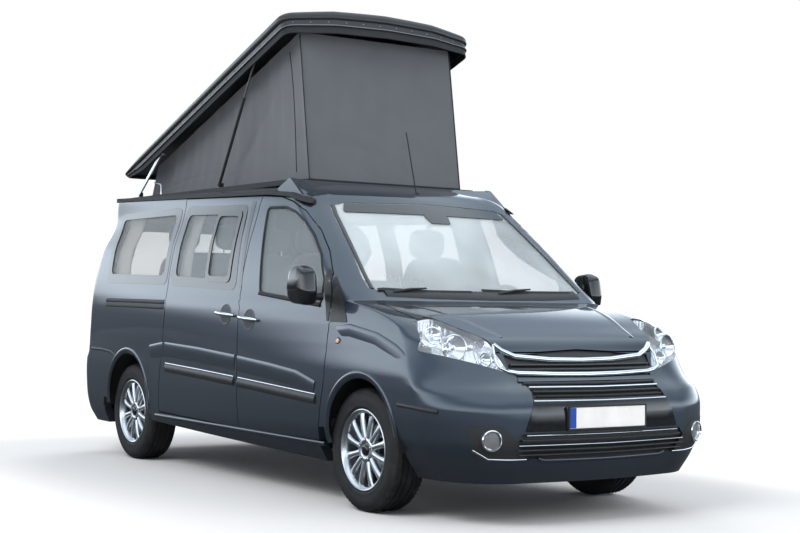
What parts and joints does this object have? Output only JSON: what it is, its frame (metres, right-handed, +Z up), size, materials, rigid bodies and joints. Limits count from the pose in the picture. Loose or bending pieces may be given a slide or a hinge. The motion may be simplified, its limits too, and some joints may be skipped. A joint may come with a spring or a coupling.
{
  "type": "camper van with a lifting roof",
  "caption": "Camper van with hinged doors, bonnet and tailgate, steered rolling wheels and a hard roof that lifts at the front over a fabric tent.",
  "frame": {"origin": "on the ground, midway between the bumpers and between the sides", "axes": "+X forward, +Y to the left, +Z up"},
  "size_m": [4.805, 2.192, 2.9579],
  "materials": {
    "alloy": "silver lacquer",
    "black_plastic": "moulded black",
    "canvas": "grey woven",
    "cast": "cast",
    "chrome": "bright",
    "furniture": "laminate",
    "glass": "clear",
    "lamp": "clear lens",
    "paint": "metallic dark blue-grey, glossy",
    "plate": "blank",
    "red_lamp": "red lens",
    "rubber": "black",
    "seat_cloth": "woven",
    "shell_paint": "dark grey, satin",
    "steel": "dark",
    "trim": "grained",
    "tyre": "black"
  },
  "bodies": {
    "chassis": {"floor_pan": "steel", "body_side_right": "paint", "body_side_left": "paint", "roof_panel": "paint", "tailgate_frame": "paint", "windscreen_surround": "paint", "front_wings": "paint", "front_bumper": "paint", "grille": "black_plastic", "headlamps": "lamp", "fog_lamps": "lamp", "windscreen": "glass", "sliding_door": "paint", "sliding_door_glass": "glass", "side_glass": "glass", "rear_bumper": "paint", "tail_lamps": "red_lamp", "roof_fairing": "paint", "roof_rails": "rubber", "roof_seal": "rubber", "tent": "canvas", "wheel_liners": "black_plastic", "engine": "cast", "front_subframe": "steel", "rear_axle": "steel", "fuel_tank": "black_plastic", "exhaust": "steel", "plate": "plate", "antenna": "black_plastic", "front_seats": "seat_cloth", "rear_bench": "seat_cloth", "kitchen_unit": "furniture", "dashboard": "trim", "steering_wheel": "trim"},
    "knuckle_right": {"knuckle_right": "cast"},
    "knuckle_left": {"knuckle_left": "cast"},
    "wheel_front_right": {"tyre_front_right": "tyre", "rim_front_right": "alloy"},
    "wheel_front_left": {"tyre_front_left": "tyre", "rim_front_left": "alloy"},
    "wheel_rear_right": {"tyre_rear_right": "tyre", "rim_rear_right": "alloy"},
    "wheel_rear_left": {"tyre_rear_left": "tyre", "rim_rear_left": "alloy"},
    "front_door_right": {"front_door_right": "paint", "front_door_glass_right": "glass", "mirror_right": "paint"},
    "front_door_left": {"front_door_left": "paint", "front_door_glass_left": "glass", "mirror_left": "paint"},
    "tailgate": {"tailgate": "paint", "tailgate_glass": "glass"},
    "bonnet": {"bonnet": "paint"},
    "roof_arms": {"roof_arms": "steel"},
    "roof_shell": {"roof_shell": "shell_paint"},
    "strut_tubes": {"strut_tubes": "black_plastic"},
    "strut_rods": {"strut_rods": "chrome"}
  },
  "joints": [
    {"name": "steer_right", "type": "hinge", "parent": "chassis", "child": "knuckle_right", "pos_m": [1.4405, -0.7, 0.332], "axis": [0, 0, 1], "range_deg": [-35, 35]},
    {"name": "steer_left", "type": "hinge", "parent": "chassis", "child": "knuckle_left", "pos_m": [1.4405, 0.7, 0.332], "axis": [0, 0, 1], "range_deg": [-35, 35]},
    {"name": "spin_front_right", "type": "hinge", "parent": "knuckle_right", "child": "wheel_front_right", "pos_m": [1.4405, -0.787, 0.332], "axis": [0, 1, 0], "continuous": true},
    {"name": "spin_front_left", "type": "hinge", "parent": "knuckle_left", "child": "wheel_front_left", "pos_m": [1.4405, 0.787, 0.332], "axis": [0, 1, 0], "continuous": true},
    {"name": "spin_rear_right", "type": "hinge", "parent": "chassis", "child": "wheel_rear_right", "pos_m": [-1.5595, -0.787, 0.332], "axis": [0, 1, 0], "continuous": true},
    {"name": "spin_rear_left", "type": "hinge", "parent": "chassis", "child": "wheel_rear_left", "pos_m": [-1.5595, 0.787, 0.332], "axis": [0, 1, 0], "continuous": true},
    {"name": "door_right", "type": "hinge", "parent": "chassis", "child": "front_door_right", "pos_m": [1.1205, -0.946, 0.9], "axis": [0, 0, 1], "range_deg": [0, 68]},
    {"name": "door_left", "type": "hinge", "parent": "chassis", "child": "front_door_left", "pos_m": [1.1205, 0.946, 0.9], "axis": [0, 0, -1], "range_deg": [0, 68]},
    {"name": "tailgate_lift", "type": "hinge", "parent": "chassis", "child": "tailgate", "pos_m": [-2.163, 0, 1.757], "axis": [0, 1, 0], "range_deg": [0, 85]},
    {"name": "bonnet_lift", "type": "hinge", "parent": "chassis", "child": "bonnet", "pos_m": [1.389, 0, 1.172], "axis": [0, -1, 0], "range_deg": [0, 50]},
    {"name": "roof_lift", "type": "hinge", "parent": "chassis", "child": "roof_arms", "pos_m": [-1.965, 0, 1.885], "axis": [0, 1, 0], "range_deg": [0, 36.5], "deforming": ["tent"]},
    {"name": "roof_tilt", "type": "hinge", "parent": "roof_arms", "child": "roof_shell", "pos_m": [-1.59523, 0, 2.15862], "axis": [0, 1, 0], "range_deg": [-18, 0.5]},
    {"name": "strut_swing", "type": "hinge", "parent": "chassis", "child": "strut_tubes", "pos_m": [-0.697, 0, 1.886], "axis": [0, 1, 0], "range_deg": [-0.5, 54]},
    {"name": "strut_slide", "type": "slide", "parent": "strut_tubes", "child": "strut_rods", "axis": [0.5193, 0, 0.8546], "range_m": [-0.272, 0.002]}
  ],
  "couplings": [
    {"joint": "steer_left", "follows": "steer_right", "ratio": 1},
    {"joint": "roof_tilt", "follows": "roof_lift", "ratio": -0.47945},
    {"joint": "strut_swing", "follows": "roof_lift", "ratio": 1.452},
    {"joint": "strut_slide", "follows": "roof_lift", "m_per_rad": -0.42123}
  ]
}
